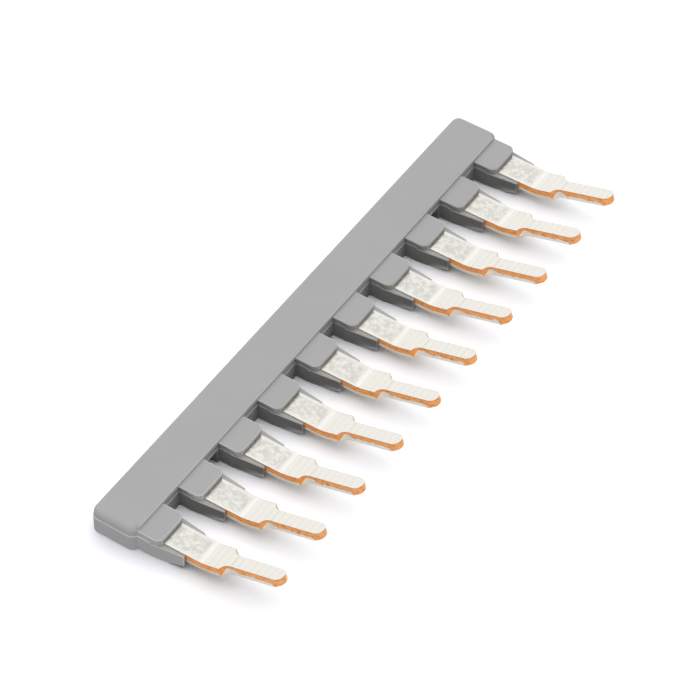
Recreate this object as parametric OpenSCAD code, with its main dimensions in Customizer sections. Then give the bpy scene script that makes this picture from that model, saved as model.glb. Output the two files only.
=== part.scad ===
// Insertion bridge for a row of terminal blocks: a stamped comb of tinned copper in a moulded grey housing.
// X runs along the bar, the prongs point along -Y, Z is up, and Z = 0 is the underside.

/* [Row] */
// Number of prongs
pole_count = 10; // [4:1:20]
// Distance from one prong to the next
pitch = 6.2; // [5.5:0.1:9]

/* [Bar] */
// Width of the bar, from its front wall to its back
bar_w = 5.1; // [4.5:0.1:7]
// Height of the bar's lower half, up to the parting line
base_h = 1.8; // [1.4:0.05:2.5]
// Height of the bar's upper half, above the parting line
cap_h = 0.9; // [0.75:0.05:1.5]
// How far the bar runs past the side of each end tongue
bar_overhang = 0.5; // [0.1:0.05:1.5]
// Radius of the bar's corners in plan
bar_corner_r = 0.9; // [0.4:0.05:1.2]
// Rounding of the bar's top edge along its back and ends
bar_edge_r = 0.5; // [0.2:0.05:0.6]
// Rounding of the bar's top edge along its front
lip_edge_r = 0.15; // [0.05:0.05:0.3]
// Step from the lower half in to the upper half, at the parting line
parting_step = 0.1; // [0.02:0.01:0.15]

/* [Pads] */
// Length of a pad, from the bar's front wall
pad_len = 2.28; // [1.8:0.01:4]
// Height of a pad above the metal
pad_h = 0.6; // [0.4:0.05:0.7]
// Radius of a pad's front corners in plan
pad_corner_r = 0.65; // [0.3:0.05:1]
// Rounding of a pad's top edge
pad_edge_r = 0.18; // [0.05:0.01:0.3]

/* [Tongues] */
// Width of a tongue at the bar
tongue_root_w = 4.12; // [3.8:0.02:5]
// Width of a tongue at its end
tongue_tip_w = 3.34; // [3:0.02:3.6]
// Length of the parallel root, before the taper starts
tongue_root_len = 1.3; // [0.8:0.05:1.7]
// Length of a tongue, from the bar's front wall
tongue_len = 4.7; // [4.2:0.05:5.5]
// Radius of the two corners at a tongue's end
tongue_corner_r = 0.1; // [0.05:0.05:0.5]
// How far the tongue's ledges lie below the top of the metal
ledge_drop = 0.12; // [0.05:0.01:0.3]
// Length of the tongue's flat underside, before it rises
sole_len = 3.1; // [2.6:0.1:4]
// Rise of the underside at the tongue's end
sole_rise = 0.4; // [0.05:0.05:0.5]

/* [Locating pockets] */
// Width of each pocket in the bar's front wall
pocket_w = 1.4; // [0.8:0.1:1.6]
// Thickness of plastic left between a pocket and the parting line
pocket_roof = 0.15; // [0.1:0.05:0.6]
// Which gap between tongues holds a pocket, counted from each end
pocket_gap = 2; // [1:1:3]

/* [Comb] */
// Thickness of the metal
metal_t = 1; // [0.5:0.05:1.2]
// Width of the back strip, hidden in the bar
strip_w = 3.3; // [2:0.1:3.8]
// Width of a blade
blade_w = 2.8; // [2:0.1:2.9]
// Distance from the bar's front wall to the start of the bend
bend_at = 5.9; // [5.6:0.1:8]
// Radius of the bend, at the top of the metal
bend_r = 4.7; // [1:0.1:8]
// Angle by which the prong rises after the bend
crank = 17; // [5:0.5:30]
// Length of full-width blade after the bend
blade_after_bend = 1.1; // [0.5:0.05:3]
// Radius of the throat where a blade narrows to its pin
throat_r = 0.75; // [0.6:0.05:1.5]
// Width of a pin
pin_w = 1.5; // [1:0.05:1.8]
// Reach of a prong's tip from the bar's front wall, at the top of the metal
prong_reach = 14.4; // [12:0.05:18]

/* [Hidden] */
$fn = 64;

tin = [0.88, 0.87, 0.84];
grey = [0.66, 0.66, 0.655];

// Room by which a cut runs clear of the face it opens
clear = 1;
// Smallest offset, between outlines that have to cross
hair = 0.0005;

row_len = (pole_count - 1) * pitch;
pole_x = [for (i = [0 : pole_count - 1]) i * pitch - row_len / 2];
bar_len = row_len + tongue_root_w + 2 * bar_overhang;

// Sizes of the upper half, inside the parting step
cap_size = [bar_len - 2 * parting_step, bar_w - 2 * parting_step];
cap_corner_r = bar_corner_r - parting_step;
cap_edge_r = min(bar_edge_r, cap_corner_r, cap_h);
lip_w = cap_size.y / 2;
pad_w = tongue_root_w - 2 * parting_step;
// Pads and tongues start at the bar's centre line, and a pad sinks this far into its tongue
tooth_bury = bar_w / 2;
pad_sink = 2 * ledge_drop;

// Half the width of a tongue at a distance from the bar's front wall
function tongue_half(y) = tongue_root_w / 2
    - (tongue_root_w - tongue_tip_w) / 2 * (y - tongue_root_len) / (tongue_len - tongue_root_len);

// The pocket runs in as far as the strip's front edge
front_wall = (bar_w - strip_w) / 2;

// A throat is never tighter than the step it bridges
throat_step = (blade_w - pin_w) / 2;
throat_radius = max(throat_r, throat_step);
throat_end = blade_after_bend + sqrt(pow(throat_radius, 2) - pow(throat_radius - throat_step, 2));
rise_start = [bend_at + bend_r * sin(crank), bend_r * (1 - cos(crank))];
rise_len = (prong_reach - rise_start.x) / cos(crank);

// Places a tooth at each pole: its origin is on the bar's front wall, level with the top of the metal, and +Y points out
module at_each_pole() {
    for (x = pole_x)
        translate([x, -bar_w / 2, base_h])
            rotate([0, 0, 180])
                children();
}

// Extrudes a side view, drawn as distance from the wall and height, evenly to both sides
module across(width) {
    rotate([90, 0, 90])
        linear_extrude(width, center = true)
            children();
}

module rounded_rectangle(size, corner_r) {
    square([size.x - 2 * corner_r, size.y], center = true);
    square([size.x, size.y - 2 * corner_r], center = true);
    for (x = [-1, 1], y = [-1, 1])
        translate([x * (size.x / 2 - corner_r), y * (size.y / 2 - corner_r)])
            circle(corner_r);
}

// Section through a wall whose outer top edge is rounded
module edge_section(depth, height, edge_r) {
    difference() {
        square([depth, height]);
        translate([depth - edge_r, height - edge_r])
            difference() {
                square(edge_r + clear);
                circle(edge_r);
            }
    }
}

// End of a slab, from Y = 0 out to two round corners, with one rolled edge round its top
module rolled_end(size, height, corner_r, edge_r) {
    side_len = size.y - corner_r;
    corner_x = size.x / 2 - corner_r;
    translate([0, side_len, 0])
        rotate([90, 0, 0])
            linear_extrude(side_len)
                for (side = [0, 1])
                    mirror([side, 0])
                        edge_section(size.x / 2, height, edge_r);
    translate([0, side_len, 0])
        across(2 * corner_x)
            edge_section(corner_r, height, edge_r);
    for (side = [0, 1])
        mirror([side, 0, 0])
            translate([corner_x, side_len, 0])
                rotate_extrude(angle = 90)
                    edge_section(corner_r, height, edge_r);
}

// Side view of all that lies above a strip with this bend radius: level first, then rising at the crank angle.
// It reaches from the middle of the bar to past the prong's tip, and further by the room given.
module above_strip(radius, room) {
    // The rising side starts a hair inside the round, so that the two cross cleanly
    foot = (radius - hair) * [sin(crank), -cos(crank)];
    end = foot + (rise_len + clear + room) * [cos(crank), sin(crank)];
    left = -bend_at - bar_w / 2 - room;
    top = bend_r + metal_t + rise_len + room;
    translate([bend_at, bend_r]) {
        circle(radius);
        polygon([[left, -radius], [0, -radius], [0, 0], foot, end, [end.x, top], [left, top]]);
    }
}

// Side view of one prong's metal
module prong_side() {
    difference() {
        above_strip(bend_r + metal_t, 0);
        above_strip(bend_r, clear);
    }
}

// Outline of the rising part of a prong: the rest of the blade, the throats and the round-ended pin
module rise_outline() {
    tip_y = rise_len - pin_w / 2;
    difference() {
        translate([-blade_w / 2, 0])
            square([blade_w, throat_end]);
        for (side = [-1, 1])
            translate([side * (pin_w / 2 + throat_radius), throat_end])
                circle(throat_radius);
    }
    translate([-pin_w / 2, 0])
        square([pin_w, tip_y]);
    translate([0, tip_y])
        circle(pin_w / 2);
}

// One prong: a blade of even width, bent, with all but the pin cut away past the shoulder
module prong() {
    difference() {
        across(blade_w)
            prong_side();
        translate([0, rise_start.x, rise_start.y])
            rotate([crank, 0, 0])
                translate([0, 0, -metal_t - clear])
                    linear_extrude(metal_t + 2 * clear)
                        difference() {
                            translate([-blade_w / 2 - clear, blade_after_bend])
                                square([blade_w + 2 * clear, rise_len + metal_t + clear]);
                            rise_outline();
                        }
    }
}

module comb_solid() {
    translate([-(row_len + blade_w) / 2, -strip_w / 2, base_h - metal_t])
        cube([row_len + blade_w, strip_w, metal_t]);
    at_each_pole()
        prong();
}

// The bar: a lower half, and a rolled upper half whose front edge is filled out to a sharper lip
module bar() {
    lip_len = cap_size.x - 2 * cap_corner_r;
    linear_extrude(base_h)
        rounded_rectangle([bar_len, bar_w], bar_corner_r);
    translate([0, 0, base_h]) {
        for (turn = [-90, 90])
            rotate([0, 0, turn])
                rolled_end([cap_size.y, cap_size.x / 2], cap_h, cap_corner_r, cap_edge_r);
        rotate([0, 0, 180])
            across(lip_len)
                edge_section(lip_w, cap_h, lip_edge_r);
    }
}

module pad() {
    translate([0, -tooth_bury, -pad_sink])
        rolled_end([pad_w, pad_len + tooth_bury], pad_sink + pad_h, pad_corner_r, pad_edge_r);
}

// Plan of a tongue: a parallel root, a taper, and an end with round corners
module tongue_plan() {
    round_y = tongue_len - tongue_corner_r;
    round_x = tongue_half(round_y) - tongue_corner_r;
    polygon([
        [-tongue_root_w / 2, -tooth_bury],
        [tongue_root_w / 2, -tooth_bury],
        [tongue_root_w / 2, tongue_root_len],
        [tongue_half(round_y), round_y],
        [-tongue_half(round_y), round_y],
        [-tongue_root_w / 2, tongue_root_len],
    ]);
    translate([-round_x, round_y])
        square([2 * round_x, tongue_corner_r]);
    for (side = [-1, 1])
        translate([side * round_x, round_y])
            circle(tongue_corner_r);
}

// Side view of a tongue: its ledges lie lower than its root, and its underside rises towards the end
module tongue_side() {
    polygon([
        [-tooth_bury, -base_h],
        [sole_len, -base_h],
        [tongue_len, sole_rise - base_h],
        [tongue_len, -ledge_drop],
        [tongue_root_len, -ledge_drop],
        [tongue_root_len, 0],
        [-tooth_bury, 0],
    ]);
}

module tongue() {
    intersection() {
        translate([0, 0, -base_h])
            linear_extrude(base_h)
                tongue_plan();
        across(tongue_root_w)
            tongue_side();
    }
}

// Pockets left in the front wall by the pins that held the strip in the mould, open at the underside
module pockets() {
    for (side = [-1, 1])
        translate([side * (row_len / 2 - (pocket_gap - 0.5) * pitch), -bar_w / 2, 0])
            translate([-pocket_w / 2, -clear, -clear])
                cube([pocket_w, front_wall + clear, base_h - pocket_roof + clear]);
}

module contact_comb() {
    color(tin)
        comb_solid();
}

// The plastic is moulded on to the comb, so the comb's own solid cuts its seat with no clearance
module insulating_housing() {
    color(grey)
        difference() {
            union() {
                bar();
                at_each_pole() {
                    tongue();
                    pad();
                }
            }
            comb_solid();
            pockets();
        }
}

contact_comb();
insulating_housing();
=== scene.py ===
"""Looks of the terminal block jumper: a tinned copper comb in a grey moulded housing.

It lies on a white floor in white surroundings.
"""
import math

import bmesh
import bpy
from mathutils import Matrix, Vector, noise


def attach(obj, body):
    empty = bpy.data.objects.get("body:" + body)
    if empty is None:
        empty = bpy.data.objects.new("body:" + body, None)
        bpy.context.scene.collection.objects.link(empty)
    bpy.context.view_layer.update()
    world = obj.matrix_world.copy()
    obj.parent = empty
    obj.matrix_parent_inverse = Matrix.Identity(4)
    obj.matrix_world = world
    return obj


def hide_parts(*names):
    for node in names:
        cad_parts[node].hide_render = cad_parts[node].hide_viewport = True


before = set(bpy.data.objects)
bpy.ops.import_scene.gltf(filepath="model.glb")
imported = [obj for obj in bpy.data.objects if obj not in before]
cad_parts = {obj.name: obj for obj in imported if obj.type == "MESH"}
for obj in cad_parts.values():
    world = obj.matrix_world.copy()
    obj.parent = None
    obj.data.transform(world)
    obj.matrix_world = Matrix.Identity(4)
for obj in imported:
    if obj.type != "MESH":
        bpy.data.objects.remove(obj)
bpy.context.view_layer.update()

MM = 0.001

# Sizes in mm, as the part's source has them
POLE_COUNT = 10
PITCH = 6.2
FRONT_WALL_Y = -2.55
STRIP_BACK = -4.2
STRIP_FRONT = -0.9
METAL_TOP_Z = 1.8
METAL_T = 1.0
BLADE_HALF = 1.4
PIN_HALF = 0.75
BEND_AT = 5.9
BEND_R = 4.7
CRANK = math.radians(17)
BLADE_AFTER_BEND = 1.1
THROAT_R = 0.75
PRONG_REACH = 14.4
PAD_LEN = 2.28
PAD_Z = METAL_TOP_Z + 0.6
TONGUE_LEN = 4.7
TONGUE_CORNER_R = 0.1
LEDGE_Z = METAL_TOP_Z - 0.12
BAR_HALF = 30.46

# Distances along the top of the metal, in mm from the bar's front wall
RISE_AT = BEND_AT + BEND_R * CRANK
SHOULDER_AT = RISE_AT + BLADE_AFTER_BEND
THROAT_STEP = BLADE_HALF - PIN_HALF
THROAT_END = SHOULDER_AT + math.sqrt(THROAT_R ** 2 - (THROAT_R - THROAT_STEP) ** 2)
TIP_AT = RISE_AT + (PRONG_REACH - BEND_AT - BEND_R * math.sin(CRANK)) / math.cos(CRANK)
TIP_CENTRE = TIP_AT - PIN_HALF

# The comb's mesh, in mm: length of its pieces along straight sides, and pieces in each curve
PIECE_LEN = 0.1
CURVE_PIECES = 12
# Where the fine pieces start, and one coarse row before them, both hidden under the pad
FINE_FROM = PAD_LEN - 0.2
COARSE_AT = PAD_LEN - 0.4
# The shoulder's corner is broken: how much of each side it takes, and how far in its middle lies
SHOULDER_CORNER = 0.05
SHOULDER_INSET = 0.012
# Points across a prong's faces, as shares of its half width
FACE_POINTS = (-0.6, -0.2, 0.2, 0.6)
# Points closer than this, in mm, become one
WELD = 0.0005

# The cut edge, in mm: a tiny round at the top, a torn zone, a burnished zone and a rolled edge
# at the bottom
EDGE_ROUND = 0.03
TORN_DEPTH = 0.56
TORN_PIECES = 6
TORN_INSET = 0.03
TORN_END = 0.02
ROLL_R = 0.07
# Raggedness of the torn zone: bumps per mm along and down the edge, and swing and mean in mm
RAGGED_SIDE = 5.0
RAGGED_DOWN = 9.0
RAGGED_SWING = 0.022
RAGGED_MEAN = 0.006
# The lower edge of each tip is rounded in: by how much, and where and over what run that grows
TIP_ROUND = 0.45
TIP_ROUND_FROM = TIP_CENTRE - 0.35
TIP_ROUND_RUN = 0.8

# The housing's mould edges: their radius in mm, and the least angle of an edge that gets it
EDGE_R = 0.07
MOULD_EDGE_ANGLE = math.radians(35)
# Places on the housing in mm: what counts as one height, the length at each end of the bar that
# belongs to its end, how far out from the front wall the parting step gets no painted highlight and
# how far from that wall the lip lies, and where a pad's rounded edge and its front begin
NEAR = 0.01
BAR_END = 1.0
PLAIN_STEP = 1.2
LIP_DEPTH = 0.3
PAD_ROUND_Z = METAL_TOP_Z + 0.3
PAD_EDGE_OUT = 0.05
PAD_FRONT_OUT = 1.5

# Painted highlight on the housing's edges and on faces that catch light, with the pale parting
# flash, as shares of the way to the pale grey below
STEP_FLASH_AND_HIGHLIGHT = 0.6
MOULD_EDGE_HIGHLIGHT = 0.9
LIP_HIGHLIGHT = 0.36
LIP_WALL_PAINTED_LIGHT = 0.13
PAD_EDGE_HIGHLIGHT = 0.45
PAD_FRONT_PAINTED_LIGHT = 0.3
TONGUE_CORNER_HIGHLIGHT = 0.5

GREY_PLASTIC = (0.435, 0.439, 0.435)
FLASH_AND_HIGHLIGHT_GREY = (0.78, 0.785, 0.78)
TIN_BRIGHT = (0.97, 0.965, 0.94)
TIN_LIGHT = (0.855, 0.838, 0.775)
TIN_DULL = (0.65, 0.645, 0.605)
TIN_LINE = (0.58, 0.53, 0.45)
TIN_SMEAR = (0.83, 0.765, 0.67)
TIN_SMEAR_PIN = (0.88, 0.865, 0.82)
COPPER = (0.90, 0.40, 0.11)
COPPER_DARK = (0.50, 0.19, 0.055)
COPPER_PALE = (0.92, 0.54, 0.265)

# Soft steps on the tin, from start to end: across from a prong's middle or along its top, in mm
FIELD_SIDES = (0.85, 1.45)
FIELD_END = (5.8, 6.1)
STREAKS_FROM = (4.4, 6.0)
MARGIN_SIDES = (0.95, 1.25)
MARGIN_END = (6.0, 6.4)
# Where the painted highlight at the bend's start begins and ends
BEND_HIGHLIGHT_START = (5.95, 6.3)
BEND_HIGHLIGHT_END = (6.35, 6.6)
ROLLED_SIDE = (1.26, 1.37)
ROLLED_FADE = (4.9, 5.6)

# Marks across the rising part of each prong: places and spacing in mm along its top, half width
# of the deep one in mm and of the others as a share of the spacing, and how far they waver in mm
MARKS_FROM = (6.8, 6.95)
MARK_PITCH = 0.714
DEEP_MARK_AT = 9.24
DEEP_WIDTH = (0.04, 0.12)
MARK_WIDTH = (0.04, 0.12)
MARK_WAVER = 0.03
# Added to the count of marks from the deep one, so that it stays positive towards the root
MARKS_BEFORE = 20

# Soft steps on the cut edge, in mm along the top of the metal
PIN_FROM = (SHOULDER_AT, THROAT_END + 0.4)
THROAT_FROM = (SHOULDER_AT + 0.1, SHOULDER_AT + 0.35)
BARE_PIN_FROM = (THROAT_END - 0.1, THROAT_END + 0.7)
BARE_TIP_FROM = (TIP_CENTRE - 0.35, TIP_CENTRE + 0.15)
BURR_AT = SHOULDER_AT - 0.02
BURR_WIDTH = (0.02, 0.13)
HELD_UNTIL = (4.5, 4.75)

# Camera, fitted to points of the photograph
CAMERA_AZIMUTH = math.radians(213.798)
CAMERA_ELEVATION = math.radians(48.28)
CAMERA_TARGET = Vector((-1.002, -5.829, 1.8)) * MM
CAMERA_DISTANCE = 308.2 * MM
CAMERA_LENS = 169.65
CAMERA_SENSOR = 36
CAMERA_NEAREST = 0.01

# The floor, half its width in metres and its distance below the part in mm
FLOOR_HALF = 1.5
FLOOR_DROP = 0.02


class Nodes:
    """A short hand for one node tree: makes nodes, sets their plain inputs and links the others."""

    def __init__(self, tree):
        self.tree = tree

    def add(self, kind, settings=None, **inputs):
        """New node. An input is given by name, with _ for a space, or by number, as i0 or i1."""
        node = self.tree.nodes.new(kind)
        for name, value in (settings or {}).items():
            setattr(node, name, value)
        for name, value in inputs.items():
            numbered = name[0] == "i" and name[1:].isdigit()
            self.put(node, int(name[1:]) if numbered else name.replace("_", " "), value)
        return node

    def put(self, node, key, value):
        """Links an output to the node's input, or sets the input to a plain value."""
        socket = node.inputs[key]
        if isinstance(value, bpy.types.NodeSocket):
            self.tree.links.new(value, socket)
        elif isinstance(value, tuple) and socket.type == "RGBA" and len(value) == 3:
            socket.default_value = (*value, 1)
        else:
            socket.default_value = value

    def math(self, operation, *values):
        """Result of one operation on numbers or outputs."""
        node = self.add("ShaderNodeMath", {"operation": operation})
        for i, value in enumerate(values):
            self.put(node, i, value)
        return node.outputs[0]

    def product(self, first, second):
        """The two values multiplied."""
        return self.math("MULTIPLY", first, second)

    def ramp(self, value, limits, ends=(0.0, 1.0)):
        """A soft step from the first end, at the first limit, to the second end, at the second."""
        low, high = limits
        to_low, to_high = ends
        node = self.add("ShaderNodeMapRange", {"interpolation_type": "SMOOTHSTEP"}, Value=value,
                        From_Min=low, From_Max=high, To_Min=to_low, To_Max=to_high)
        return node.outputs["Result"]

    def mix(self, share, first, second):
        """A colour that goes from the first to the second with the share."""
        node = self.add("ShaderNodeMix", {"data_type": "RGBA"}, Factor=share, i6=first, i7=second)
        return node.outputs[2]

    def in_mm(self):
        """Object coordinates, in mm."""
        place = self.add("ShaderNodeTexCoord").outputs["Object"]
        node = self.add("ShaderNodeVectorMath", {"operation": "SCALE"}, Vector=place, Scale=1 / MM)
        return node.outputs[0]

    def prong_place(self):
        """Place on the flat prong, in mm: across it, along it and down its edge."""
        place = self.add("ShaderNodeAttribute", {"attribute_name": "place"}).outputs["Vector"]
        return tuple(self.add("ShaderNodeSeparateXYZ", Vector=place).outputs)

    def noise(self, vector, scale, detail=2.0, roughness=0.5, stretch=None):
        """Noise between 0 and 1, finer along an axis that is stretched more."""
        if stretch:
            vector = self.add("ShaderNodeVectorMath", {"operation": "MULTIPLY"},
                              i0=vector, i1=stretch).outputs[0]
        node = self.add("ShaderNodeTexNoise", Vector=vector, Scale=scale, Detail=detail,
                        Roughness=roughness)
        return node.outputs["Fac"]

    def bump(self, height, strength, distance):
        """Normal of a fine relief whose depth is given in mm."""
        node = self.add("ShaderNodeBump", Height=height, Strength=strength, Distance=distance * MM)
        return node.outputs["Normal"]

    def surface(self, output, **inputs):
        """Gives the material one plain shader with these inputs."""
        shader = self.add("ShaderNodeBsdfPrincipled", **inputs)
        self.put(output, "Surface", shader.outputs["BSDF"])


def new_material(name):
    """Empty material, its nodes and its output."""
    material = bpy.data.materials.new(name)
    material.use_nodes = True
    material.node_tree.nodes.clear()
    nodes = Nodes(material.node_tree)
    output = nodes.add("ShaderNodeOutputMaterial")
    return material, nodes, output


def shaded(colour, factor):
    """The colour made lighter or darker."""
    return tuple(factor * c for c in colour)


def grey_plastic():
    """Matte grey moulded plastic with a fine grain and a faint cloudiness."""
    material, nodes, output = new_material("grey_plastic")
    place = nodes.in_mm()
    cloud = nodes.noise(place, scale=0.25, detail=3.0)
    grain = nodes.noise(place, scale=14.0)
    cloudy = nodes.ramp(cloud, limits=(0.3, 0.7))
    tone = nodes.mix(cloudy, shaded(GREY_PLASTIC, 0.985), shaded(GREY_PLASTIC, 1.015))
    grainy = nodes.ramp(grain, limits=(0.3, 0.75), ends=(0.0, 0.16))
    tone = nodes.mix(grainy, tone, shaded(GREY_PLASTIC, 0.8))
    # Painted highlights make rounded edges, the lip, pad fronts and tongue corners paler where they
    # catch light; the parting line's thin flash is pale, partly its own colour and partly painted
    # highlight
    rim = nodes.add("ShaderNodeAttribute", {"attribute_name": "rim"}).outputs["Fac"]
    nodes.surface(output, Base_Color=nodes.mix(rim, tone, FLASH_AND_HIGHLIGHT_GREY),
                  Roughness=nodes.ramp(grain, limits=(0.3, 0.7), ends=(0.46, 0.6)),
                  Specular_IOR_Level=0.06,
                  Normal=nodes.bump(grain, strength=0.25, distance=0.01))
    return material


def tin_plate():
    """Matte tin on the strip's faces: mottled on the blade, with fine marks across the pin."""
    material, nodes, output = new_material("tin_plate")
    place = nodes.in_mm()
    across, along, _ = nodes.prong_place()
    inward = nodes.math("ABSOLUTE", across)
    blotches = nodes.noise(place, scale=1.5, detail=5.0, roughness=0.74, stretch=(1.6, 1.3, 1.0))
    streaks = nodes.noise(place, scale=1.0, detail=3.0, roughness=0.6, stretch=(0.8, 5.0, 1.0))
    # The dull field stops short of the blade's long edges and of the bend
    field = nodes.product(nodes.ramp(inward, FIELD_SIDES, ends=(1.0, 0.0)),
                          nodes.ramp(along, FIELD_END, ends=(1.0, 0.0)))
    mottle = nodes.product(nodes.ramp(blotches, limits=(0.38, 0.6)), field)
    tone = nodes.mix(mottle, TIN_LIGHT, TIN_DULL)
    dull_streaks = nodes.product(nodes.ramp(streaks, limits=(0.5, 0.68), ends=(0.0, 0.5)),
                                 nodes.ramp(along, STREAKS_FROM))
    tone = nodes.mix(nodes.product(dull_streaks, field), tone, TIN_DULL)
    # The blade's margins are a little bright, and a narrow band where the bend starts is a painted
    # highlight, the reflection that the curve catches there
    margin = nodes.product(nodes.ramp(inward, MARGIN_SIDES, ends=(0.0, 0.25)),
                           nodes.ramp(along, MARGIN_END, ends=(1.0, 0.0)))
    bend_highlight = nodes.product(nodes.ramp(along, BEND_HIGHLIGHT_START, ends=(0.0, 0.75)),
                         nodes.ramp(along, BEND_HIGHLIGHT_END, ends=(1.0, 0.0)))
    bright_margin_and_highlight = nodes.product(nodes.math("MAXIMUM", margin, bend_highlight),
                            nodes.ramp(streaks, limits=(0.35, 0.6), ends=(1.0, 0.55)))
    tone = nodes.mix(bright_margin_and_highlight, tone, TIN_BRIGHT)
    # Evenly spaced marks across the rising part, the deepest where the pin begins
    waver = nodes.ramp(nodes.noise(place, scale=1.0, detail=1.0, stretch=(0.5, 0.2, 0.2)),
                       limits=(0.3, 0.7), ends=(-MARK_WAVER, MARK_WAVER))
    past_mark = nodes.math("ADD", nodes.math("SUBTRACT", along, DEEP_MARK_AT), waver)
    half = 0.5
    count = nodes.math("MULTIPLY_ADD", past_mark, 1 / MARK_PITCH, MARKS_BEFORE + half)
    off_mark = nodes.math("ABSOLUTE", nodes.math("SUBTRACT", nodes.math("FRACT", count), half))
    faint = nodes.noise(place, scale=1.0, stretch=(0.25, 2.4, 1.0))
    mark = nodes.product(nodes.ramp(off_mark, MARK_WIDTH, ends=(1.0, 0.0)),
                         nodes.ramp(faint, limits=(0.35, 0.65), ends=(0.3, 0.55)))
    deep = nodes.ramp(nodes.math("ABSOLUTE", past_mark), DEEP_WIDTH, ends=(0.8, 0.0))
    mark = nodes.product(nodes.math("MAXIMUM", mark, deep), nodes.ramp(along, MARKS_FROM))
    mark_strength = 0.44
    tone = nodes.mix(nodes.product(mark, mark_strength), tone, TIN_LINE)
    # The edge that was cut last is rolled; its darker tone is painted shade of the roll
    rolled = nodes.product(nodes.ramp(across, ROLLED_SIDE),
                           nodes.ramp(along, ROLLED_FADE, ends=(1.0, 0.3)))
    roll_shade_strength = 0.55
    tone = nodes.mix(nodes.product(rolled, roll_shade_strength), tone, TIN_LINE)
    nodes.surface(output, Base_Color=tone, Metallic=1.0,
                  Roughness=nodes.ramp(blotches, limits=(0.3, 0.7), ends=(0.22, 0.32)),
                  Normal=nodes.bump(nodes.noise(place, scale=4.0), strength=0.04, distance=0.02))
    return material


def bare_depth(nodes, place, along, on_pin):
    """How deep the bare copper reaches on the cut edge, in mm.

    It is less in the throat, deepest in a burr at the shoulder, and all of the edge at the tip.
    """
    reach = nodes.ramp(along, THROAT_FROM, ends=(0.58, 0.3))
    reach = nodes.math("ADD", reach, nodes.ramp(along, BARE_PIN_FROM, ends=(0.0, 0.27)))
    reach = nodes.math("ADD", reach, nodes.ramp(along, BARE_TIP_FROM, ends=(0.0, 0.6)))
    off_burr = nodes.math("ABSOLUTE", nodes.math("SUBTRACT", along, BURR_AT))
    reach = nodes.math("ADD", reach, nodes.ramp(off_burr, BURR_WIDTH, ends=(0.24, 0.0)))
    # The limit is even along the blade and blotchy along the pin
    patchy = nodes.noise(place, scale=1.6, detail=3.0, roughness=0.6, stretch=(1.0, 0.9, 2.5))
    on_blade, more_on_pin, mean = 0.12, 0.6, 0.5
    blotchy = nodes.math("MULTIPLY_ADD", on_pin, more_on_pin, on_blade)
    return nodes.math("MULTIPLY_ADD", nodes.math("SUBTRACT", patchy, mean), blotchy, reach)


def cut_edge():
    """Punched edge: bare torn copper above, and tin smeared up over the burnished zone below."""
    material, nodes, output = new_material("cut_edge")
    place = nodes.in_mm()
    across, along, depth = nodes.prong_place()
    tear = nodes.noise(place, scale=2.4, detail=4.0, roughness=0.6, stretch=(1.0, 1.0, 1.6))
    on_pin = nodes.ramp(along, PIN_FROM)
    # Copper, paler on the pin, and dark in the deepest tears and right under the top edge
    paler_on_pin = 0.2
    pale = nodes.math("MULTIPLY_ADD", on_pin, paler_on_pin,
                      nodes.ramp(tear, limits=(0.4, 0.66), ends=(0.0, 0.8)))
    copper = nodes.mix(pale, COPPER, COPPER_PALE)
    copper = nodes.mix(nodes.ramp(tear, limits=(0.42, 0.28)), copper, COPPER_DARK)
    under_top = nodes.ramp(depth, limits=(0.02, 0.09), ends=(0.6, 0.0))
    copper = nodes.mix(under_top, copper, COPPER_DARK)
    below = nodes.math("SUBTRACT", depth, bare_depth(nodes, place, along, on_pin))
    smear = nodes.ramp(below, limits=(-0.03, 0.04))
    # Tin is dragged over most of the edge in the moulding, and over the side that was cut last
    dragged = nodes.math("MAXIMUM", nodes.ramp(along, HELD_UNTIL, ends=(1.0, 0.0)),
                         nodes.ramp(across, limits=(0.0, 0.5)))
    specks = nodes.noise(place, scale=3.0, stretch=(1.0, 1.5, 1.0))
    covered = nodes.product(dragged, nodes.ramp(specks, limits=(0.55, 0.65), ends=(0.9, 0.3)))
    smear = nodes.math("MAXIMUM", smear, covered)
    tin = nodes.mix(on_pin, TIN_SMEAR, TIN_SMEAR_PIN)
    rough = nodes.noise(place, scale=12.0, detail=3.0)
    nodes.surface(output, Base_Color=nodes.mix(smear, copper, tin), Metallic=1.0,
                  Roughness=nodes.ramp(smear, limits=(0.0, 1.0), ends=(0.68, 0.4)),
                  Normal=nodes.bump(rough, strength=0.25, distance=0.02))
    return material


def steps(start, end):
    """Places from start to end, both included, about PIECE_LEN apart."""
    pieces = round((end - start) / PIECE_LEN)
    return [start + (end - start) * i / pieces for i in range(pieces + 1)]


def prong_side_line():
    """Right side of a prong as points (across, along), from the strip's back to near the tip."""
    points = [(BLADE_HALF, at) for at in (STRIP_BACK, STRIP_FRONT, COARSE_AT)]
    points += [(BLADE_HALF, at) for at in steps(FINE_FROM, SHOULDER_AT - SHOULDER_CORNER)]
    points.append((BLADE_HALF - SHOULDER_INSET, SHOULDER_AT - SHOULDER_INSET))
    wide = math.asin((THROAT_END - SHOULDER_AT) / THROAT_R)
    for i in range(CURVE_PIECES + 1):
        turn = (wide - SHOULDER_CORNER / THROAT_R) * (1 - i / CURVE_PIECES)
        across = PIN_HALF + THROAT_R - THROAT_R * math.cos(turn)
        points.append((across, THROAT_END - THROAT_R * math.sin(turn)))
    points += [(PIN_HALF, at) for at in steps(THROAT_END, TIP_CENTRE)[1:-1]]
    for i in range(CURVE_PIECES):
        turn = math.pi / 2 * i / CURVE_PIECES
        points.append((PIN_HALF * math.cos(turn), TIP_CENTRE + PIN_HALF * math.sin(turn)))
    return points


def outward(points):
    """Unit normals of the side line, which runs from root to tip with the metal on its left."""
    line = [points[0], *points, (0, TIP_AT)]
    normals = []
    for before, after in zip(line, line[2:]):
        dx, dy = after[0] - before[0], after[1] - before[1]
        size = math.hypot(dx, dy)
        normals.append((dy / size, -dx / size))
    return normals


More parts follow.
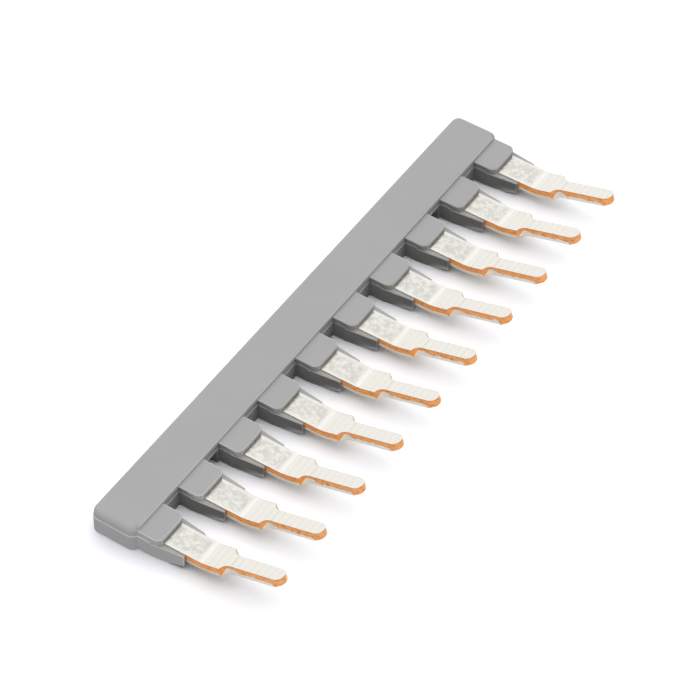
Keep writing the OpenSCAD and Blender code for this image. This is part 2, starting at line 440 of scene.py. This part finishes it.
def edge_profile():
    """The cut edge from top to bottom, as (depth, inset, share of tearing)."""
    profile = []
    for turn in (0, 0.8, math.pi / 2):
        profile.append((EDGE_ROUND * (1 - math.cos(turn)), EDGE_ROUND * (1 - math.sin(turn)), 0.0))
    for i in range(1, TORN_PIECES):
        at = i / TORN_PIECES
        hollow = TORN_INSET * math.sin(math.pi * at ** 1.5)
        depth = EDGE_ROUND + (TORN_DEPTH - EDGE_ROUND) * at
        profile.append((depth, hollow, math.sin(math.pi * at)))
    profile.append((TORN_DEPTH + TORN_END, 0.0, 0.2))
    profile += [(METAL_T - TIP_ROUND * share, 0.0, 0.0) for share in (1, 0.7, 0.45)]
    for turn in (0, 0.5, 1.05, math.pi / 2):
        depth = METAL_T - ROLL_R * (1 - math.sin(turn))
        profile.append((depth, ROLL_R * (1 - math.cos(turn)), 0.0))
    return profile


def tip_inset(along, depth):
    """How far the lower edge is rounded in at the tip, so that the pin finds its hole."""
    share = min(max((along - TIP_ROUND_FROM) / TIP_ROUND_RUN, 0), 1)
    eased = share * share * (3 - 2 * share)
    below = min(max(depth - METAL_T + TIP_ROUND, 0) / TIP_ROUND, 1)
    return eased * TIP_ROUND * (1 - math.sqrt(1 - below ** 2))


def bent(across, along, depth):
    """Place in the part's frame, in metres, of a point of the flat prong."""
    turned = min(max((along - BEND_AT) / BEND_R, 0), CRANK)
    if turned == 0:
        past = along - BEND_AT
    elif turned == CRANK:
        past = along - RISE_AT
    else:
        past = 0
    out = BEND_AT + (BEND_R + depth) * math.sin(turned) + past * math.cos(turned)
    up = BEND_R - (BEND_R + depth) * math.cos(turned) + past * math.sin(turned)
    return Vector((across, FRONT_WALL_Y - out, METAL_TOP_Z + up)) * MM


class Sheet:
    """Points and faces of a mesh in flat prong places: across, along and depth, in mm."""

    def __init__(self):
        self.places, self.faces, self.cut, self.link = [], [], [], []

    def point(self, across, along, depth):
        """Adds a point and gives its number."""
        self.places.append((across, along, depth))
        return len(self.places) - 1

    def face(self, points, cut=False, link=False):
        """Adds a face, on the cut edge or on a link where that is said."""
        self.faces.append(points)
        self.cut.append(cut)
        self.link.append(link)

    def mesh(self, name):
        """The mesh, bent, with the flat places and the two labels kept as attributes."""
        mesh = bpy.data.meshes.new(name)
        mesh.from_pydata([bent(*p) for p in self.places], [], self.faces)
        for label, values in (("cut", self.cut), ("link", self.link)):
            mesh.attributes.new(label, "BOOLEAN", "FACE").data.foreach_set("value", values)
        flat = [number for place in self.places for number in place]
        mesh.attributes.new("place", "FLOAT_VECTOR", "POINT").data.foreach_set("vector", flat)
        return mesh


def cut_side(sheet, side, profile):
    """Points of one cut side of a prong: a row of them, from top to bottom, for each place."""
    line = prong_side_line()
    rows = []
    for (x, y), (nx, ny) in zip(line, outward(line)):
        row = []
        for depth, inset, tear in profile:
            # The part of the strip in the moulding stays plain
            if y < FINE_FROM:
                inset = 0.0
            elif tear:
                at = (x * side * RAGGED_SIDE, y * RAGGED_SIDE, depth * RAGGED_DOWN)
                ragged = RAGGED_SWING * noise.noise(Vector(at)) + RAGGED_MEAN
                inset += tear * max(ragged, -inset)
            inset = max(inset, tip_inset(y, depth))
            row.append(sheet.point(side * (x - inset * nx), y - inset * ny, depth))
        rows.append(row)
    return rows


def prong_and_link():
    """Mesh of one prong with its share of the strip, and of the strip's link to the next prong."""
    sheet = Sheet()
    profile = edge_profile()
    right, left = cut_side(sheet, 1, profile), cut_side(sheet, -1, profile)
    tip = [sheet.point(0, TIP_AT - max(inset, tip_inset(TIP_AT, depth)), depth)
           for depth, inset, tear in profile]
    # Top and bottom faces
    root_rows = []
    for level in (0, len(profile) - 1):
        rows = []
        for left_row, right_row in zip(left, right):
            half, along, depth = sheet.places[right_row[level]]
            inner = [sheet.point(half * share, along, depth) for share in FACE_POINTS]
            rows.append([left_row[level], *inner, right_row[level]])
        root_rows.append(rows[0])
        for below, above in zip(rows, rows[1:]):
            for c in range(len(below) - 1):
                sheet.face((below[c], above[c], above[c + 1], below[c + 1]))
        for c in range(len(rows[-1]) - 1):
            sheet.face((rows[-1][c], tip[level], rows[-1][c + 1]))
    # Cut sides, from the strip's front to the tip
    for rows in (right, left):
        for below, above in zip(rows[1:], rows[2:] + [tip]):
            for j in range(len(profile) - 1):
                sheet.face((below[j], above[j], above[j + 1], below[j + 1]), cut=True)
    # Back of the strip
    top, bottom = root_rows
    sheet.face(top[1:-1] + right[0] + bottom[-2:0:-1] + left[0][::-1], cut=True)
    # The link reaches from this prong's right side to the next prong's left side
    (near_back, near_front), (far_back, far_front) = [
        [[sheet.point(across, along, depth) for depth, inset, tear in profile]
         for along in (STRIP_BACK, STRIP_FRONT)]
        for across in (BLADE_HALF, PITCH - BLADE_HALF)]
    sheet.face(near_back + far_back[::-1], cut=True, link=True)
    sheet.face(near_front + far_front[::-1], cut=True, link=True)
    for level in (0, -1):
        sheet.face((near_back[level], near_front[level], far_front[level], far_back[level]),
                   link=True)
    return sheet.mesh("prong_and_link")


def comb_row(tin, edge):
    """Geometry Nodes tree that sets prongs and links in a row, welds them and finishes them."""
    tree = bpy.data.node_groups.new("comb_row", "GeometryNodeTree")
    inputs = {}
    for name, kind in (("Geometry", "Geometry"), ("Count", "Int"), ("Pitch", "Float"),
                       ("Weld", "Float")):
        socket = tree.interface.new_socket(name, in_out="INPUT", socket_type="NodeSocket" + kind)
        inputs[name] = socket.identifier
    tree.interface.new_socket("Geometry", in_out="OUTPUT", socket_type="NodeSocketGeometry")
    nodes = Nodes(tree)
    given = nodes.add("NodeGroupInput").outputs
    is_link, is_cut = (nodes.add("GeometryNodeInputNamedAttribute", {"data_type": "BOOLEAN"},
                                 Name=label).outputs["Attribute"] for label in ("link", "cut"))
    split = nodes.add("GeometryNodeSeparateGeometry", {"domain": "FACE"},
                      Geometry=given["Geometry"], Selection=is_link).outputs
    gaps = nodes.math("SUBTRACT", given["Count"], 1.0)
    first = nodes.product(nodes.product(gaps, given["Pitch"]), -0.5)
    start = nodes.add("ShaderNodeCombineXYZ", X=first).outputs[0]
    step = nodes.add("ShaderNodeCombineXYZ", X=given["Pitch"]).outputs[0]
    join = nodes.add("GeometryNodeJoinGeometry")
    for part, count in (("Selection", gaps), ("Inverted", given["Count"])):
        row = nodes.add("GeometryNodeMeshLine", Count=count, Start_Location=start, Offset=step)
        copies = nodes.add("GeometryNodeInstanceOnPoints", Points=row.outputs[0],
                           Instance=split[part])
        real = nodes.add("GeometryNodeRealizeInstances", Geometry=copies.outputs[0])
        nodes.put(join, "Geometry", real.outputs[0])
    welded = nodes.add("GeometryNodeMergeByDistance", Geometry=join.outputs[0],
                       Distance=given["Weld"])
    dressed = nodes.add("GeometryNodeSetMaterial", Geometry=welded.outputs[0], Material=tin)
    dressed = nodes.add("GeometryNodeSetMaterial", Geometry=dressed.outputs[0], Selection=is_cut,
                        Material=edge)
    nodes.add("NodeGroupOutput", Geometry=dressed.outputs[0])
    return tree, inputs


def placed(thing):
    """Puts an object in the scene."""
    bpy.context.scene.collection.objects.link(thing)
    return thing


def evaluated_mesh(thing):
    """Plain mesh of an object with its modifiers."""
    depsgraph = bpy.context.evaluated_depsgraph_get()
    return bpy.data.meshes.new_from_object(thing.evaluated_get(depsgraph))


def baked(name, mesh, tree, values):
    """Object with the plain mesh that a Geometry Nodes tree makes of the given mesh."""
    source = placed(bpy.data.objects.new(name + "_source", mesh))
    modifier = source.modifiers.new("row", "NODES")
    modifier.node_group = tree
    for identifier, value in values.items():
        modifier[identifier] = value
    result = evaluated_mesh(source)
    bpy.data.objects.remove(source)
    result.name = name
    return placed(bpy.data.objects.new(name, result))


def finish_surface(mesh, angle):
    """Smooth shading that stays crisp at edges sharper than the angle."""
    mesh.polygons.foreach_set("use_smooth", [True] * len(mesh.polygons))
    mesh.set_sharp_from_angle(angle=angle)


def tinned_comb():
    """The comb: ten prongs on one strip, tin on its faces and copper on its cut edges."""
    tree, inputs = comb_row(tin_plate(), cut_edge())
    values = {inputs["Count"]: POLE_COUNT, inputs["Pitch"]: PITCH * MM, inputs["Weld"]: WELD * MM}
    comb = baked("tinned_comb", prong_and_link(), tree, values)
    work = bmesh.new()
    work.from_mesh(comb.data)
    # The strip's two ends are still open
    bmesh.ops.holes_fill(work, edges=[e for e in work.edges if e.is_boundary])
    bmesh.ops.recalc_face_normals(work, faces=work.faces)
    work.to_mesh(comb.data)
    work.free()
    finish_surface(comb.data, angle=math.radians(40))
    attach(comb, "root")
    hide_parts("contact_comb")


def from_pole(x):
    """Distance across from the middle of the nearest prong, in mm, in a row of an even count."""
    return abs(x / MM % PITCH - PITCH / 2)


def is_mould_edge(edge):
    """True for edges of the ledges beside the blades and for outer edges of the parting step."""
    if not edge.is_convex or edge.calc_face_angle(0) < MOULD_EDGE_ANGLE:
        return False
    if max(from_pole(v.co.x) for v in edge.verts) < BLADE_HALF + 2 * NEAR:
        return False
    middle = (edge.verts[0].co + edge.verts[1].co) / 2 / MM
    on_outline = abs(middle.y) > -FRONT_WALL_Y - 2 * NEAR or abs(middle.x) > BAR_HALF - BAR_END
    on_ledge = all(abs(v.co.z / MM - LEDGE_Z) < NEAR for v in edge.verts)
    on_step = all(abs(v.co.z / MM - METAL_TOP_Z) < NEAR for v in edge.verts)
    return on_ledge or on_step and on_outline


def painted_highlight_share(face):
    """How much painted highlight a face of the housing gets, with the pale flash on the parting
    step: parting step, mould edges, lip, pads and tongue ends.
    """
    middle, normal = face.calc_center_median() / MM, face.normal
    out = FRONT_WALL_Y - middle.y
    faces_up, faces_front, upright = normal.z > 0.9, normal.y < -0.9, abs(normal.z) < 0.3
    rounded = 0.3 < normal.z < 0.93
    # In the gaps between tongues, which lie in shade, the parting step and the mould edges get no
    # painted highlight and stay as grey as the walls
    in_gap = middle.y < 0 and abs(middle.x) < BAR_HALF - BAR_END and out < PLAIN_STEP
    # Pale flash of the parting step, partly its own colour and partly painted highlight
    if abs(middle.z - METAL_TOP_Z) < NEAR and faces_up:
        return 0.0 if in_gap else STEP_FLASH_AND_HIGHLIGHT
    # Painted highlight on the rounded mould edges
    if LEDGE_Z - EDGE_R - NEAR < middle.z < METAL_TOP_Z and rounded:
        return 0.0 if in_gap else MOULD_EDGE_HIGHLIGHT
    # The lip along the bar's front: painted highlight on its rounded faces and painted light on its
    # wall
    straight = normal.y < -0.3 and abs(normal.x) < 0.1
    if middle.z > METAL_TOP_Z and abs(out) < LIP_DEPTH and straight:
        return LIP_HIGHLIGHT if rounded else LIP_WALL_PAINTED_LIGHT
    # Painted highlight on the pads' rounded edges
    if PAD_ROUND_Z < middle.z < PAD_Z and out > PAD_EDGE_OUT and rounded:
        return PAD_EDGE_HIGHLIGHT
    # Painted light on the pads' front faces
    if METAL_TOP_Z < middle.z < PAD_Z and out > PAD_FRONT_OUT and faces_front:
        return PAD_FRONT_PAINTED_LIGHT
    # Painted highlight on the tongues' end corners
    aslant = abs(normal.x) > 0.3 and normal.y < -0.3
    if abs(out - TONGUE_LEN) < TONGUE_CORNER_R and upright and aslant:
        return TONGUE_CORNER_HIGHLIGHT
    return 0.0


def moulded_housing():
    """The housing with its ledges and its parting step rounded as the mould leaves them."""
    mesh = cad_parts["insulating_housing"].data.copy()
    mesh.name = "moulded_housing"
    work = bmesh.new()
    work.from_mesh(mesh)
    bmesh.ops.remove_doubles(work, verts=work.verts, dist=WELD * MM)
    bmesh.ops.dissolve_limit(work, angle_limit=math.radians(0.5), verts=work.verts,
                             edges=work.edges)
    edges = [e for e in work.edges if is_mould_edge(e)]
    bmesh.ops.bevel(work, geom=edges, offset=EDGE_R * MM, offset_type="OFFSET", affect="EDGES",
                    segments=3, profile=0.5, clamp_overlap=True)
    # Painted highlights and the pale parting flash, kept on each face for the plastic's colour
    rim = work.faces.layers.float.new("rim")
    for face in work.faces:
        face[rim] = painted_highlight_share(face)
    work.to_mesh(mesh)
    work.free()
    mesh.materials.clear()
    mesh.materials.append(grey_plastic())
    finish_surface(mesh, angle=math.radians(32))
    housing = placed(bpy.data.objects.new("moulded_housing", mesh))
    weigh = housing.modifiers.new("weigh", "WEIGHTED_NORMAL")
    weigh.keep_sharp = True
    result = evaluated_mesh(housing)
    housing.modifiers.clear()
    housing.data = result
    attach(housing, "root")
    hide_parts("insulating_housing")


def mirrored(nodes, path):
    """1 for rays that come by way of metal or glass, and 0 for others."""
    return nodes.math("MAXIMUM", path["Is Glossy Ray"], path["Is Transmission Ray"])


def white_surroundings(brightest, limits, strength):
    """Surroundings that show white, and light the part like a sky, brightest in one direction."""
    world = bpy.data.worlds.new("studio")
    bpy.context.scene.world = world
    world.use_nodes = True
    nodes = Nodes(world.node_tree)
    background = world.node_tree.nodes["Background"]
    background.inputs["Color"].default_value = (1, 1, 1, 1)
    direction = nodes.add("ShaderNodeTexCoord").outputs["Generated"]
    aim = tuple(Vector(brightest).normalized())
    turned = nodes.add("ShaderNodeVectorMath", {"operation": "DOT_PRODUCT"},
                       i0=direction, i1=aim).outputs["Value"]
    sky = nodes.ramp(turned, limits, ends=(0.0, strength))
    path = nodes.add("ShaderNodeLightPath").outputs
    seen = nodes.math("MAXIMUM", path["Is Camera Ray"], mirrored(nodes, path))
    more = nodes.math("SUBTRACT", 1.0, sky)
    nodes.put(background, "Strength", nodes.math("MULTIPLY_ADD", seen, more, sky))


def white_floor(bounce, seen_in_metal, white):
    """A floor that shows white and keeps the shadow, and throws little light back at the part."""
    mesh = bpy.data.meshes.new("floor")
    corners = [(-1, -1), (1, -1), (1, 1), (-1, 1)]
    points = [(FLOOR_HALF * x, FLOOR_HALF * y, -FLOOR_DROP * MM) for x, y in corners]
    mesh.from_pydata(points, [], [(0, 1, 2, 3)])
    floor = placed(bpy.data.objects.new("floor", mesh))
    material, nodes, output = new_material("white_floor")
    path = nodes.add("ShaderNodeLightPath").outputs
    tone = nodes.mix(mirrored(nodes, path), (bounce,) * 3, (seen_in_metal,) * 3)
    tone = nodes.mix(path["Is Camera Ray"], tone, white)
    nodes.put(output, "Surface", nodes.add("ShaderNodeBsdfDiffuse", Color=tone).outputs[0])
    mesh.materials.append(material)


def soft_box(name, place, size, power):
    """A rectangular lamp that points at the part and isn't seen in metal."""
    light = bpy.data.lights.new(name, "AREA")
    light.shape = "RECTANGLE"
    light.size, light.size_y = size
    light.energy = power
    lamp = placed(bpy.data.objects.new(name, light))
    lamp.location = place
    lamp.rotation_euler = Vector(place).to_track_quat("Z", "Y").to_euler()
    lamp.visible_glossy = False


def camera():
    """Camera at the place from which the photograph was taken."""
    level = math.cos(CAMERA_ELEVATION)
    back = Vector((level * math.cos(CAMERA_AZIMUTH), level * math.sin(CAMERA_AZIMUTH),
                   math.sin(CAMERA_ELEVATION)))
    data = bpy.data.cameras.new("camera")
    data.lens = CAMERA_LENS
    data.sensor_width = CAMERA_SENSOR
    data.clip_start = CAMERA_NEAREST
    eye = placed(bpy.data.objects.new("camera", data))
    place = Matrix.Translation(CAMERA_TARGET + back * CAMERA_DISTANCE)
    eye.matrix_world = place @ back.to_track_quat("Z", "Y").to_matrix().to_4x4()
    bpy.context.scene.camera = eye


tinned_comb()
moulded_housing()

bpy.context.scene.view_settings.view_transform = "Standard"
white_surroundings(brightest=(0.62, 0.25, 0.74), limits=(-0.1, 0.9), strength=1.56)
white_floor(bounce=0.15, seen_in_metal=0.9, white=(1.235, 1.24, 1.28))
soft_box("fill", place=(-1.0, -0.3, 0.04), size=(0.8, 0.08), power=6.1)
camera()
